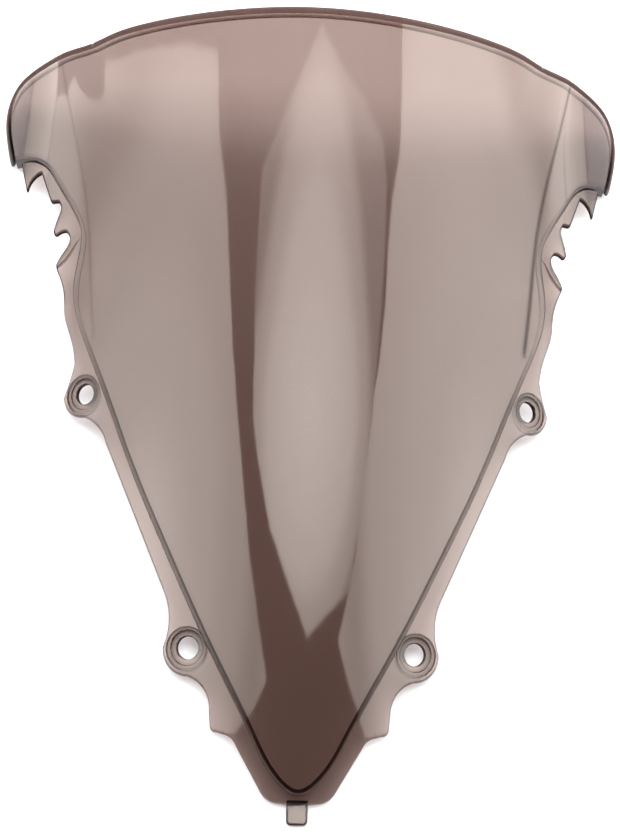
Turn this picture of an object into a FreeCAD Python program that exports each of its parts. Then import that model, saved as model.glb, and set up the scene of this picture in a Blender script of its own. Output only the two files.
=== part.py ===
"""Motorcycle windshield screen, modelled as a parametric FreeCAD document.

The screen is one sheet of smoked acrylic: a long bubble that runs out to a V at the nose,
two wings that fold down at the sides, a rounded bead round the trailing edge, and a
mounting flange that sits one sheet thickness lower, so that a fairing lies flush with it.
The flange carries four fixing eyes, three hooks each side and a locating tongue.

Frame: millimetres, +Z up, +Y from the nose to the trailing edge, X across. The screen
lies with its outer face up and stands on its tongue and the two ends of the bead.
The origin is on that surface, at the middle of the screen's length and width.
"""
import FreeCAD, Part
import Sketcher
import math
import os

V = FreeCAD.Vector
UP = V(0, 0, 1)

# Driving dimensions: alias, value, what it is.
SIZES = [
    ("sheet", 3.0, "thickness of the sheet"),
    ("joggle", 3.0, "how far the flange lies below the panel"),
    ("joggle_wide", 2.4, "width of the wall between panel and flange"),
    ("nose_y", -185.0, "tip of the V"),
    ("nose_high", 9.0, "height of the panel at the tip of the V"),
    ("crown_slope", 0.2117, "rise of the crown line per millimetre of length"),
    ("cross_curve", 0.0022, "fall of the panel per square millimetre off the crown"),
    ("bubble_rise", 9.0, "extra height of the bubble at its full length"),
    ("bubble_from", 40.0, "where the bubble starts to swell"),
    ("bubble_long", 160.0, "length over which it swells"),
    ("bubble_soft", 0.06, "how rounded the foot of the bubble is"),
    ("valley_x", 125.0, "half width of the bubble at the rear"),
    ("valley_taper", 0.31, "how fast that half width shrinks towards the nose"),
    ("fold_x", 143.0, "half width between the wing folds at the rear"),
    ("fold_taper", 0.22, "how fast that half width shrinks towards the nose"),
    ("fold_slope", 0.23, "extra fall of the wings beyond the folds"),
    ("fold_from", 20.0, "where the wing folds start"),
    ("fold_long", 180.0, "length over which they reach their full fall"),
    ("fold_soft", 5.0, "half width of the rounded bend at a fold"),
    ("rear_y", 200.0, "the rear, where the half widths above are measured"),
    ("bead_wide", 3.5, "width of the bead round the trailing edge"),
    ("bead_proud", 0.8, "how far the bead stands above the panel"),
    ("bead_deep", 1.4, "how far the bead hangs below the panel"),
    ("notch_x", 124.0, "where the bead meets the valleys beside the bubble"),
    ("nose_split", -160.0, "where the nose flange meets the side flanges"),
    ("lower_x", 54.6, "lower fixing eye, from the middle"),
    ("lower_y", -123.5, "lower fixing eye, along the screen"),
    ("upper_x", 116.0, "upper fixing eye, from the middle"),
    ("upper_y", 2.6, "upper fixing eye, along the screen"),
    ("hole_radius", 5.25, "hole for a rubber well nut"),
    ("seat_radius", 10.2, "recessed seat round the hole"),
    ("seat_deep", 1.0, "how far the seat lies below the flange"),
    ("ring_radius", 7.9, "inner ring of the seat"),
    ("ring_deep", 0.5, "how far the inner ring lies below the seat"),
    ("eye_thick", 3.3, "thickness of the seat"),
    ("blade_up", 1.0, "how far the blade hook stands above the flange"),
    ("tongue_half", 4.85, "half width of the locating tongue"),
    ("tongue_root", -188.0, "where the tongue starts, under the nose flange"),
    ("tongue_tip", -198.6, "free end of the tongue"),
    ("tongue_thick", 2.2, "thickness of the tongue"),
    ("tongue_round", 2.0, "corner radius of the tongue"),
    ("reach", 215.0, "half size of the square that the surfaces are made on"),
    ("tall", 160.0, "height of the tools that cut the outlines"),
]

# Right half of each plan outline, as points (x, y). The left half is its mirror image.
V_LINE = [
    (0, -185), (8.5, -180.2), (21.3, -161), (43.4, -121.5), (65.2, -79.4), (87, -34.3),
    (102.2, 1.4), (113.8, 27.5), (121, 46.5), (123.2, 61), (121.4, 77), (121.2, 89),
    (127.2, 103.8), (139.5, 125), (147, 136.5), (155, 143.4), (167, 149), (185, 154),
]
FOLD_LINE = [(110.6, 30), (114.6, 60), (117.6, 87), (121.6, 110), (130, 144), (138, 174), (145.5, 206)]
TRAILING_EDGE = [
    (0, 189.7), (50, 190.8), (95, 194.3), (112, 195.3), (124, 194.9), (137, 195.9), (150, 196.7),
    (162, 196.9), (171.8, 194.3), (177.2, 187), (178.6, 177), (177, 166), (172.6, 149.3),
]

# The curved faces pass through this many points across and along the screen.
POINTS_ACROSS = 87
POINTS_ALONG = 31
# Plan outlines stay this far inside the square that the curved faces cover.
MARGIN = 5.0

doc = FreeCAD.newDocument("windshield_screen")
sheet = doc.addObject("Spreadsheet::Sheet", "sizes")


def fill_sheet():
    """Write each driving dimension to the spreadsheet and name its cell."""
    for row, (alias, value, note) in enumerate(SIZES, start=1):
        sheet.set(f"A{row}", note)
        sheet.set(f"B{row}", str(value))
        sheet.setAlias(f"B{row}", alias)
    doc.recompute()


def size(alias):
    """One driving dimension, read from the spreadsheet."""
    return float(sheet.get(alias))


# ---------------------------------------------------------------- the curved sheet

def soft_ramp(u, softness):
    """Zero below zero and u above it, with a rounded start."""
    return (u + math.hypot(u, softness)) / 2


def skin_height(x, y):
    """Height of the outer face of the panel at a point of the plan."""
    x = abs(x)
    crown = size("nose_high") + size("crown_slope") * (y - size("nose_y"))
    swell = max(0.0, (y - size("bubble_from")) / size("bubble_long")) ** 2
    forward = size("rear_y") - y
    valley = size("valley_x") - size("valley_taper") * forward
    bubble = size("bubble_rise") * swell * soft_ramp(1 - (x / valley) ** 2, size("bubble_soft"))
    fold = size("fold_x") - size("fold_taper") * forward
    folding = min(1.0, max(0.0, (y - size("fold_from")) / size("fold_long")))
    wing = size("fold_slope") * folding * soft_ramp(x - fold, size("fold_soft"))
    return crown - size("cross_curve") * x * x + bubble - wing


def skin_normal(x, y):
    """Outward unit normal of the outer face."""
    step = 0.5
    slope_x = (skin_height(x + step, y) - skin_height(x - step, y)) / (2 * step)
    slope_y = (skin_height(x, y + step) - skin_height(x, y - step)) / (2 * step)
    return V(-slope_x, -slope_y, 1).normalize()


def skin_point(x, y, offset):
    """The point of the outer face at (x, y), moved along the normal by offset."""
    return V(x, y, skin_height(x, y)) + skin_normal(x, y) * offset


def spaced(count):
    """Evenly spaced places from one side of the surface square to the other."""
    reach = size("reach")
    return [-reach + 2 * reach * i / (count - 1) for i in range(count)]


LAYERS = {}


def under(offset):
    """The space below the face that lies offset millimetres above the outer face."""
    if offset in LAYERS:
        return LAYERS[offset]
    label = f"face_{offset:+.1f}".replace("+", "above_").replace("-", "below_").replace(".", "_")
    surface = Part.BSplineSurface()
    rows = [[skin_point(x, y, offset) for y in spaced(POINTS_ALONG)] for x in spaced(POINTS_ACROSS)]
    surface.interpolate(rows)
    face = doc.addObject("Part::Feature", label)
    face.Shape = surface.toShape()
    space = doc.addObject("Part::Extrusion", "under_" + label)
    space.Base = face
    space.DirMode = "Custom"
    space.Dir = V(0, 0, -1)
    space.setExpression("LengthFwd", "2 * sizes.tall")
    space.Solid = True
    LAYERS[offset] = space
    return space


# ---------------------------------------------------------------- plan outlines

def at(point):
    """A plan point as a vector."""
    return V(point[0], point[1], 0)


def mirrored(points):
    """The points of a right half, read back from its far end on the left side."""
    return [(-x, y) for x, y in reversed(points)]


def spline(points):
    """A smooth curve through the points."""
    curve = Part.BSplineCurve()
    curve.interpolate([at(p) for p in points])
    return curve


def beside(points, distance):
    """The points moved sideways, to the left of the curve's own direction."""
    curve = spline(points)
    moved = []
    for point in points:
        along = curve.tangent(curve.parameter(at(point)))[0]
        moved.append((point[0] - along.y * distance, point[1] + along.x * distance))
    return moved


def line(*points):
    """Straight edges through the points."""
    return [Part.LineSegment(at(a), at(b)).toShape() for a, b in zip(points, points[1:])]


def arc(start, middle, end):
    return [Part.Arc(at(start), at(middle), at(end)).toShape()]


def smooth(*points):
    return [spline(points).toShape()]


def flipped(edges):
    """The edges mirrored to the left side, in reverse order."""
    plane = (V(0, 0, 0), V(1, 0, 0))
    return [edge.mirror(*plane) for edge in reversed(edges)]


def column(label, edges):
    """An upright solid over a closed plan outline, as tall as the whole screen."""
    outline = doc.addObject("Part::Feature", label + "_outline")
    outline.Shape = Part.Wire(Part.sortEdges(edges)[0])
    solid = doc.addObject("Part::Extrusion", label)
    solid.Base = outline
    solid.DirMode = "Custom"
    solid.Dir = UP
    solid.setExpression("LengthFwd", "sizes.tall")
    solid.setExpression("LengthRev", "sizes.tall / 4")
    solid.Solid = True
    return solid


def inside_v(label, distance):
    """The plan area behind the V line, moved out by a distance, as a column."""
    whole = mirrored(V_LINE[1:]) + V_LINE
    moved = beside(whole, -distance)
    first, last = moved[0], moved[-1]
    far = size("reach") - MARGIN
    closing = line(last, (far, last[1]), (far, far), (-far, far), (-far, first[1]), first)
    return column(label, [spline(moved).toShape()] + closing)


def panel_area():
    """The plan area between the two wing folds, open towards the nose."""
    far = size("reach") - MARGIN
    low, high = FOLD_LINE[0], FOLD_LINE[-1]
    right = line((far, -far), (far, low[1]), low) + smooth(*FOLD_LINE)
    across = line(high, (-high[0], high[1])) + line((-far, -far), (far, -far))
    return column("panel_area", right + flipped(right) + across)


def bead_curves():
    """The outer and inner curves of the bead, from its right end to its left end."""
    outer = list(reversed(TRAILING_EDGE)) + [(-x, y) for x, y in TRAILING_EDGE[1:]]
    return outer, beside(outer, size("bead_wide"))


def bead_area():
    outer, inner = bead_curves()
    ends = line(outer[0], inner[0]) + line(outer[-1], inner[-1])
    return column("bead_area", [spline(outer).toShape(), spline(inner).toShape()] + ends)


def inside_bead():
    """The plan area that the bead closes in, open towards the nose."""
    inner = bead_curves()[1]
    right, left = inner[0], inner[-1]
    far = MARGIN - size("reach")
    closing = line(right, (right[0], far), (left[0], far), left)
    return column("inside_bead", [spline(inner).toShape()] + closing)


def flange_side():
    """The right half of the flange's outer outline, from the nose to the ear."""
    edges = line((0, -190.3), (9.6, -189.6))
    edges += arc((9.6, -189.6), (14.4, -187.8), (17.1, -184.8))
    edges += line((17.1, -184.8), (29.1, -165.4))
    edges += arc((29.1, -165.4), (31.2, -162.4), (34.2, -160.8))
    edges += line((34.2, -160.8), (38, -159.8))
    edges += arc((38, -159.8), (40.7, -158.7), (41.4, -156.5))
    edges += line((41.4, -156.5), (42, -150.6))
    edges += arc((42, -150.6), (45, -141), (53, -135.2))
    edges += arc((53, -135.2), (61.8, -131.2), (65.2, -121.8))
    edges += arc((65.2, -121.8), (63.2, -110.5), (66, -97.5))
    edges += line((66, -97.5), (100.5, -23.5))
    edges += arc((100.5, -23.5), (105.3, -14.5), (113.5, -8.3))
    edges += arc((113.5, -8.3), (122.7, -3.6), (125.4, 3.2))
    edges += arc((125.4, 3.2), (122.7, 11.5), (120.8, 20))
    edges += smooth((120.8, 20), (122.5, 28.5), (126.2, 39), (129.3, 49), (130.2, 58), (136, 74.4))
    return edges


def hook_side():
    """The right outline of the three hooks, from the blade's tip to the ear."""
    edges = line((136, 74.4), (136.3, 76.4))
    edges += smooth((136.3, 76.4), (133.6, 80.8), (130.4, 85), (129.5, 90), (132, 94.4))
    edges += arc((132, 94.4), (134.8, 94.9), (137.4, 94.2))
    edges += arc((137.4, 94.2), (139.3, 95.3), (139.6, 98.4))
    edges += smooth((139.6, 98.4), (137.9, 103.6), (136.3, 108.6), (138.2, 113.3))
    edges += line((138.2, 113.3), (142.4, 114.6), (143.5, 115.9), (151, 135))
    edges += arc((151, 135), (156.3, 134), (159.2, 129.1))
    edges += line((159.2, 129.1), (160.3, 129.2), (165.2, 146.4), (168, 156))
    return edges


def flange_area():
    right = flange_side() + hook_side()
    return column("flange_area", right + flipped(right) + line((168, 156), (-168, 156)))


def zone(label, side, points):
    """A column over straight-sided points, given for the right side."""
    shifted = [(side * x, y) for x, y in points]
    return column(label, line(*shifted, shifted[0]))


# ---------------------------------------------------------------- solid operations

def common(label, *parts):
    result = doc.addObject("Part::MultiCommon", label)
    result.Shapes = list(parts)
    return result


def cut(label, base, tool):
    result = doc.addObject("Part::Cut", label)
    result.Base = base
    result.Tool = tool
    return result


def cut_all(label, base, tools):
    """Cut several tools away in turn; the last cut carries the label."""
    for number, tool in enumerate(tools, start=1):
        name = label if number == len(tools) else f"{label}_cut_{number}"
        base = cut(name, base, tool)
    return base


def layer(label, area, top, bottom):
    """The part of a plan area between two faces of the sheet."""
    return cut(label, common(label + "_column", area, under(top)), under(bottom))


NODES = []


def node(feature):
    """Mark a finished sub-part, which is written to its own file."""
    NODES.append(feature)
    return feature


SIDES = (("left", -1), ("right", 1))


# ---------------------------------------------------------------- the panel and its edges

def box(label, low, high):
    """An upright box tool between two plan corners, given as spreadsheet expressions."""
    solid = doc.addObject("Part::Box", label)
    solid.setExpression("Placement.Base.x", low[0])
    solid.setExpression("Placement.Base.y", low[1])
    solid.setExpression("Placement.Base.z", "-sizes.tall / 4")
    solid.setExpression("Length", f"{high[0]} - ({low[0]})")
    solid.setExpression("Width", f"{high[1]} - ({low[1]})")
    solid.setExpression("Height", "sizes.tall")
    return solid


def half(side):
    """The left or right half of the plan."""
    name, sign = side
    ends = ("0", "sizes.reach") if sign > 0 else ("-sizes.reach", "0")
    return box(name + "_half", (ends[0], "-sizes.reach"), (ends[1], "sizes.reach"))


def make_panel(plans):
    plan = common("panel_plan", plans["panel"], plans["v_inner"], plans["in_bead"])
    return node(layer("bubble_panel", plan, 0, -size("sheet")))


def make_wings(plans):
    """The two side wings, outside the folds."""
    outside = cut("wings_plan", common("behind_v", plans["v_inner"], plans["in_bead"]), plans["panel"])
    for name, _ in SIDES:
        plan = common(name + "_wing_plan", outside, plans[name])
        node(layer(name + "_wing", plan, 0, -size("sheet")))


def make_beads(plans):
    """The rounded bead, in three lengths that meet at the valleys beside the bubble."""
    top, bottom = size("bead_proud"), -size("sheet") - size("bead_deep")
    middle = box("middle", ("-sizes.notch_x", "-sizes.reach"), ("sizes.notch_x", "sizes.reach"))
    node(layer("centre_edge_bead", common("centre_bead_plan", plans["bead"], middle), top, bottom))
    outer = cut("outer_bead_plan", plans["bead"], middle)
    for name, _ in SIDES:
        plan = common(name + "_bead_plan", outer, plans[name])
        node(layer(name + "_edge_bead", plan, top, bottom))


def make_joggles(plans):
    """The wall that steps down from the panel to the flange along each side of the V."""
    wall = cut("joggle_plan", plans["v_outer"], plans["v_inner"])
    depth = size("joggle") + size("sheet")
    for name, _ in SIDES:
        plan = common(name + "_joggle_plan", wall, plans["in_bead"], plans[name])
        node(layer(name + "_joggle", plan, 0, -depth))


# ---------------------------------------------------------------- flange, hooks and eyes

def cylinder(label, place, radius, start, height):
    """A round tool that starts at a distance along the normal of the flange."""
    centre, normal = place
    solid = doc.addObject("Part::Cylinder", label)
    solid.setExpression("Radius", radius)
    solid.setExpression("Height", height)
    turn = FreeCAD.Rotation(UP, normal)
    solid.Placement = FreeCAD.Placement(centre + normal * start, turn)
    return solid


def make_eye(plans, name, sign, level):
    """One fixing eye: a round recessed seat with a stepped ring and a hole.

    It hands back the round tool that makes room for the eye in the flange.
    """
    x, y = sign * size(level + "_x"), size(level + "_y")
    place = (skin_point(x, y, -size("joggle")), skin_normal(x, y))
    label = f"{name}_{level}_eye"
    seat, ring = -size("seat_deep"), -size("seat_deep") - size("ring_deep")
    disc = cylinder(label + "_disc", place, "sizes.seat_radius", seat - size("eye_thick"), "sizes.eye_thick")
    recess = cylinder(label + "_recess", place, "sizes.ring_radius", ring, "sizes.sheet")
    hole = cylinder(label + "_hole", place, "sizes.hole_radius", -2 * size("sheet"), "4 * sizes.sheet")
    socket = cylinder(label + "_socket", place, "sizes.seat_radius", -3 * size("sheet"), "6 * sizes.sheet")
    blank = common(label + "_blank", disc, plans["flange"])
    node(cut_all(label, blank, [recess, hole]))
    return socket


def hook_zones(name, sign):
    """Plan areas that part the blade, the side hook and the ear hook from the flange."""
    edge = [(142, 72), (136.1, 74.5), (131.5, 77.4), (128.2, 81), (125.2, 85.2), (117, 90)]
    edge = [(sign * x, y) for x, y in edge]
    rest = line(edge[-1], (sign * 145, 90), edge[0])
    blade = column(name + "_blade_zone", smooth(*edge) + rest)
    side_points = [(117, 90), (145, 90), (150, 110), (151, 135), (147.5, 143), (117, 143)]
    ear_points = [(151, 135), (150, 110), (175, 110), (175, 160), (147.5, 160), (147.5, 143)]
    return {
        "blade_hook": blade,
        "side_hook": zone(name + "_side_zone", sign, side_points),
        "ear_hook": zone(name + "_ear_zone", sign, ear_points),
    }


def make_flange_side(plans, name, sign):
    """One side of the flange with its two eyes and three hooks."""
    top, bottom = -size("joggle"), -size("joggle") - size("sheet")
    sockets = [make_eye(plans, name, sign, level) for level in ("lower", "upper")]
    plan = common(name + "_flange_side", plans["flange"], plans[name])
    zones = hook_zones(name, sign)
    strip = cut_all(name + "_flange_plan", plan, [plans["nose"]] + list(zones.values()))
    node(cut_all(name + "_flange", layer(name + "_flange_blank", strip, top, bottom), sockets))
    for hook, area in zones.items():
        lift = size("blade_up") if hook == "blade_hook" else 0
        shape = common(f"{name}_{hook}_plan", plan, area)
        node(layer(f"{name}_{hook}", shape, top + lift, bottom + lift))


def make_nose(plans):
    top, bottom = -size("joggle"), -size("joggle") - size("sheet")
    return node(layer("nose_flange", common("nose_plan", plans["flange"], plans["nose"]), top, bottom))


# ---------------------------------------------------------------- the tongue

def tongue_sketch(body):
    """A rectangle centred on the middle plane, from the tongue's root to its tip."""
    sketch = body.newObject("Sketcher::SketchObject", "tongue_sketch")
    plane = [f for f in body.Origin.OriginFeatures if f.Role == "XY_Plane"][0]
    sketch.AttachmentSupport = [(plane, "")]
    sketch.MapMode = "FlatFace"
    half_wide, root, tip = size("tongue_half"), size("tongue_root"), size("tongue_tip")
    corners = [(-half_wide, tip), (half_wide, tip), (half_wide, root), (-half_wide, root)]
    for start, end in zip(corners, corners[1:] + corners[:1]):
        sketch.addGeometry(Part.LineSegment(at(start), at(end)), False)
    for number in range(4):
        sketch.addConstraint(Sketcher.Constraint("Coincident", number, 2, (number + 1) % 4, 1))
    for number, kind in ((1, "Vertical"), (2, "Horizontal"), (3, "Vertical")):
        sketch.addConstraint(Sketcher.Constraint(kind, number))
    sketch.addConstraint(Sketcher.Constraint("Symmetric", 0, 1, 0, 2, -2))
    wide = sketch.addConstraint(Sketcher.Constraint("DistanceX", 0, 1, 0, 2, 2 * half_wide))
    near = sketch.addConstraint(Sketcher.Constraint("DistanceY", 2, 1, -1, 1, -root))
    long = sketch.addConstraint(Sketcher.Constraint("DistanceY", 1, 1, 1, 2, root - tip))
    sketch.setExpression(f"Constraints[{wide}]", "2 * sizes.tongue_half")
    sketch.setExpression(f"Constraints[{near}]", "-sizes.tongue_root")
    sketch.setExpression(f"Constraints[{long}]", "sizes.tongue_root - sizes.tongue_tip")
    return sketch


def make_tongue(nose):
    """The flat tongue that reaches out from under the nose, with rounded free corners."""
    body = doc.addObject("PartDesign::Body", "tongue_blank")
    sketch = tongue_sketch(body)
    pad = body.newObject("PartDesign::Pad", "tongue_pad")
    pad.Profile = sketch
    pad.setExpression("Length", "sizes.tongue_thick")
    doc.recompute()
    tip = size("tongue_tip")
    names = []
    for number, edge in enumerate(pad.Shape.Edges, start=1):
        ends = [vertex.Point for vertex in edge.Vertexes]
        if all(abs(end.y - tip) < 0.01 for end in ends) and abs(ends[0].z - ends[1].z) > 0.1:
            names.append(f"Edge{number}")
    fillet = body.newObject("PartDesign::Fillet", "tongue_corners")
    fillet.Base = (pad, names)
    fillet.setExpression("Radius", "sizes.tongue_round")
    body.Tip = fillet
    return node(cut("locating_tongue", body, nose))


# ---------------------------------------------------------------- build, check and write

def build():
    band = size("joggle_wide") / 2
    plans = {
        "panel": panel_area(),
        "v_inner": inside_v("inside_v_inner", -band),
        "v_outer": inside_v("inside_v_outer", band),
        "in_bead": inside_bead(),
        "bead": bead_area(),
        "nose": box("nose_box", ("-sizes.reach", "-sizes.reach"), ("sizes.reach", "sizes.nose_split")),
    }
    for side in SIDES:
        plans[side[0]] = half(side)
    plans["flange"] = cut("flange_plan", flange_area(), plans["v_outer"])
    make_panel(plans)
    make_wings(plans)
    make_beads(plans)
    make_joggles(plans)
    nose = make_nose(plans)
    for name, sign in SIDES:
        make_flange_side(plans, name, sign)
    make_tongue(nose)


def check():
    """Stop if any object failed to compute or any sub-part isn't one valid solid."""
    for item in doc.Objects:
        if "Invalid" in item.State or "Error" in item.State:
            raise RuntimeError(f"{item.Label} did not compute: {item.State}")
    for item in NODES:
        shape = item.Shape
        if shape.isNull() or not shape.isValid() or len(shape.Solids) != 1:
            raise RuntimeError(f"{item.Label} is not one valid solid: {len(shape.Solids)}")


def write():
    os.makedirs("parts", exist_ok=True)
    for item in NODES:
        item.Shape.exportStep(f"parts/{item.Label}.step")


fill_sheet()
build()
doc.recompute()
check()
write()
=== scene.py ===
"""Looks of a motorcycle windshield screen: a thin smoked acrylic moulding on a white studio floor.

Plan outlines are in millimetres in the part's frame: X across, Y from the nose to the rear edge.
One triangulation of the whole plan is shared out to the pieces, so that neighbours meet exactly,
and each piece is lifted to its outer and inner face from the same height formula as the part.
"""
import math

import bpy
import numpy as np
from mathutils import Matrix, Vector, geometry, kdtree


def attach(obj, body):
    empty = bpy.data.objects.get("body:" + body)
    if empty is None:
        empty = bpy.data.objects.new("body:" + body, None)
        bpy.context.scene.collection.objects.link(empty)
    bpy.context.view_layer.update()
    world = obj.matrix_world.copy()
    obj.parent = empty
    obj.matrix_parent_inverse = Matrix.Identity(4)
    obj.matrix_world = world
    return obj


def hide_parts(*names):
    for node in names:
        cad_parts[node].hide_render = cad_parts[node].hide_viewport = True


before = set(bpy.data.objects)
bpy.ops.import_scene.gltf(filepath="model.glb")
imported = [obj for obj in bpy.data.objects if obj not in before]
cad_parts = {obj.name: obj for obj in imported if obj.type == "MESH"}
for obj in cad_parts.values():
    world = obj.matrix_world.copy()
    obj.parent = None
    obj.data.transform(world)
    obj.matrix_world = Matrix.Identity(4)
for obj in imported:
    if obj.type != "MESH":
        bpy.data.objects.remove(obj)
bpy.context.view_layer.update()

MM = 0.001

# ---------------------------------------------------------------- sizes of the moulding, in mm
SHEET = 3.0      # how thick the sheet is
JOGGLE = 3.0     # how far the flange lies below the panel
BAND = 1.2       # half the width of the slanting step between the two
# The panel's outer face: a crown, a bubble between two valleys, and wings folded down at the sides.
NOSE_Y, NOSE_HIGH, CROWN_SLOPE, CROSS_CURVE = -185.0, 9.0, 0.2117, 0.0022
BUBBLE_RISE, BUBBLE_FROM, BUBBLE_LONG, BUBBLE_SOFT = 9.0, 40.0, 160.0, 0.06
VALLEY_X, VALLEY_TAPER = 125.0, 0.31
FOLD_X, FOLD_TAPER, FOLD_SLOPE, FOLD_FROM, FOLD_LONG, FOLD_SOFT = 143.0, 0.22, 0.23, 20.0, 180.0, 2.5
REAR_Y = 200.0
# The bead along the rear edge: its width, and how far it stands out above and below, over what length.
BEAD_WIDE, BEAD_PROUD, BEAD_DEEP, BEAD_RISE, NOTCH_X = 3.5, 0.8, 1.4, 1.1, 124.0
NOSE_SPLIT, WING_END, BLADE_Y = -160.0, 30.0, 90     # where the nose flange, wings and blades end
NOSE_SPLIT_HALF, WING_END_X = 45, 117                # how far those lines reach out, past the outline
EYES = {"lower": (54.6, -123.5), "upper": (116.0, 2.6)}
HOLE_R, SEAT_R, SEAT_DEEP, RING_R, RING_DEEP, EYE_THICK = 5.25, 10.2, 1.0, 7.9, 0.5, 3.3
BLADE_UP, BLADE_FADE = 1.0, 12     # the blade hooks bend up by this much, over this length
TONGUE_HALF, TONGUE_ROOT, TONGUE_TIP, TONGUE_THICK, TONGUE_ROUND = 4.85, -188.0, -198.6, 2.2, 2.0

# Right half of each outline. The left half is its mirror image.
V_LINE = [
    (0, -185), (8.5, -180.2), (21.3, -161), (43.4, -121.5), (65.2, -79.4), (87, -34.3),
    (102.2, 1.4), (113.8, 27.5), (121, 46.5), (123.2, 61), (121.4, 77), (121.2, 89),
    (127.2, 103.8), (139.5, 125), (147, 136.5), (155, 143.4), (167, 149), (185, 154),
]
FOLD_LINE = [(110.6, 30), (114.6, 60), (117.6, 87), (121.6, 110), (130, 144), (138, 174), (145.5, 206)]
TRAILING_EDGE = [
    (0, 189.7), (50, 190.8), (95, 194.3), (112, 195.3), (124, 194.9), (137, 195.9), (150, 196.7),
    (162, 196.9), (171.8, 194.3), (177.2, 187), (178.6, 177), (177, 166), (172.6, 149.3),
]
FLANGE_EDGE = [
    ("line", (0, -190.3), (9.6, -189.6)),
    ("arc", (9.6, -189.6), (14.4, -187.8), (17.1, -184.8)),
    ("line", (17.1, -184.8), (29.1, -165.4)),
    ("arc", (29.1, -165.4), (31.2, -162.4), (34.2, -160.8)),
    ("line", (34.2, -160.8), (38, -159.8)),
    ("arc", (38, -159.8), (40.7, -158.7), (41.4, -156.5)),
    ("line", (41.4, -156.5), (42, -150.6)),
    ("arc", (42, -150.6), (45, -141), (53, -135.2)),
    ("arc", (53, -135.2), (61.8, -131.2), (65.2, -121.8)),
    ("arc", (65.2, -121.8), (63.2, -110.5), (66, -97.5)),
    ("line", (66, -97.5), (100.5, -23.5)),
    ("arc", (100.5, -23.5), (105.3, -14.5), (113.5, -8.3)),
    ("arc", (113.5, -8.3), (122.7, -3.6), (125.4, 3.2)),
    ("arc", (125.4, 3.2), (122.7, 11.5), (120.8, 20)),
    ("smooth", (120.8, 20), (122.5, 28.5), (126.2, 39), (129.3, 49), (130.2, 58), (136, 74.4)),
    ("line", (136, 74.4), (136.3, 76.4)),
    ("smooth", (136.3, 76.4), (133.6, 80.8), (130.4, 85), (129.5, 90), (132, 94.4)),
    ("arc", (132, 94.4), (134.8, 94.9), (137.4, 94.2)),
    ("arc", (137.4, 94.2), (139.3, 95.3), (139.6, 98.4)),
    ("smooth", (139.6, 98.4), (137.9, 103.6), (136.3, 108.6), (138.2, 113.3)),
    ("line", (138.2, 113.3), (142.4, 114.6), (143.5, 115.9), (151, 135)),
    ("arc", (151, 135), (156.3, 134), (159.2, 129.1)),
    ("line", (159.2, 129.1), (160.3, 129.2), (165.2, 146.4), (168, 156)),
]
BLADE_END = [(117, BLADE_Y), (145, BLADE_Y)]               # where blade hook and side hook meet
EAR_SPLIT = [(151, 135), (147.5, 143), (147.5, 147)]       # where side hook and ear hook meet
BLADE_EDGE = [(142, 72), (136.1, 74.5), (131.5, 77.4), (128.2, 81), (125.2, 85.2), BLADE_END[0]]
SIDE_HOOK_AREA = [*BLADE_END, (150, 110), *EAR_SPLIT[:2], (117, 143)]
EAR_HOOK_AREA = [EAR_SPLIT[0], (150, 110), (175, 110), (175, 160), (147.5, 160), EAR_SPLIT[1]]

EDGE_ROUND = 0.8    # rounding of the flange's free edge
BEAD_ROUND = 1.6    # rounding of the bead's outer side
STEP_ROUND = 1.1    # rounding of the step between panel and flange

# ---------------------------------------------------------------- density of the triangles, in mm
STEP = 1.0          # spacing of points along outlines
GRID = 3.2          # spacing of points inside the panel
ROW_PITCH = 0.87    # spacing of the grid's rows, as a share of GRID
GRID_HALF, GRID_FRONT, GRID_REAR = 215, -198, 205     # how far the grid reaches
EYE_SIDES = 72      # points around an eye
# Rows of points that follow a line, at these distances beside it, where a face curves.
RIM_ROWS = 0.12, 0.35, EDGE_ROUND
BEAD_ROWS = 0.15, 0.5, 1.0, BEAD_ROUND, 2.4, 2.8, 3.15
STEP_ROWS = -0.9, -0.5, 0, 0.4, 0.75, 1.0
FOLD_ROWS = -5, -2.8, -1.5, -0.7, 0.7, 1.5, 2.8, 5
# The least distance from the grid to a line and to a row, and from a row to a line.
GRID_TO_LINE, GRID_TO_ROW, ROW_TO_LINE = 1.3, 1.0, 0.09
EYE_TO_STEP = 0.35  # where an eye's round outline stops beside the step
ON_LINE = 0.3       # nearer than this, a point counts as on a line

# ---------------------------------------------------------------- painted shade and painted light at single places
# Painted shade: how much darker than flat sheet a place looks, 0 for the same, and 1 as dark as DARK_DEPTH mm
# more of sheet; below 0 it is painted light.
DARK_DEPTH = 4.0
CREASE_FROM, CREASE_FADE = 22.0, 12      # painted shade: the dark line along a fold starts here and comes up over this length
CREASE_REAR, CREASE_LONG = 190, 120      # and from here it spreads forwards, over this length
# Width and strength of the painted shade line along the folds: wider towards the front, faint on the left,
# stronger on the right and more so towards the front.
CREASE_WIDE, CREASE_WIDER = 0.6, 0.4
CREASE_SHADE_LEFT, CREASE_SHADE_RIGHT, CREASE_SHADE_RIGHT_MORE = 0.12, 0.42, 0.33
STEP_DARK = (-190, -150, 0, 40), (1.0, 0.75, 0.6, 0.05)      # painted shade on the step's inner side, by y, darkest at the nose
STEP_DARK_TO, STEP_DARK_LEAST = 0.75, 0.15                   # across the step, outwards
HOOKS_Y, RIM_DARK, RIM_DARK_REAR = 55, 0.2, 1.0              # painted shade along the free edge, before and behind HOOKS_Y
BEAD_DARK = (0, 0.6, 1.6, 2.4, 2.9), (-0.3, 0.0, 0.6, 1.0, 1.15)      # painted light at the bead's outer edge and painted shade along its inner side, by distance from its outer edge
EYE_DARK = (0.9, 0.9, 0.9, 0.1, 0.3, 0.7, 0.7, 0, 0.4, 0.8, 0.8, 0.8)   # painted shade on the rings of build_eye, in order
# Painted shade along the tongue's rounded outline.
TONGUE_DARK = 0.55
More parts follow.
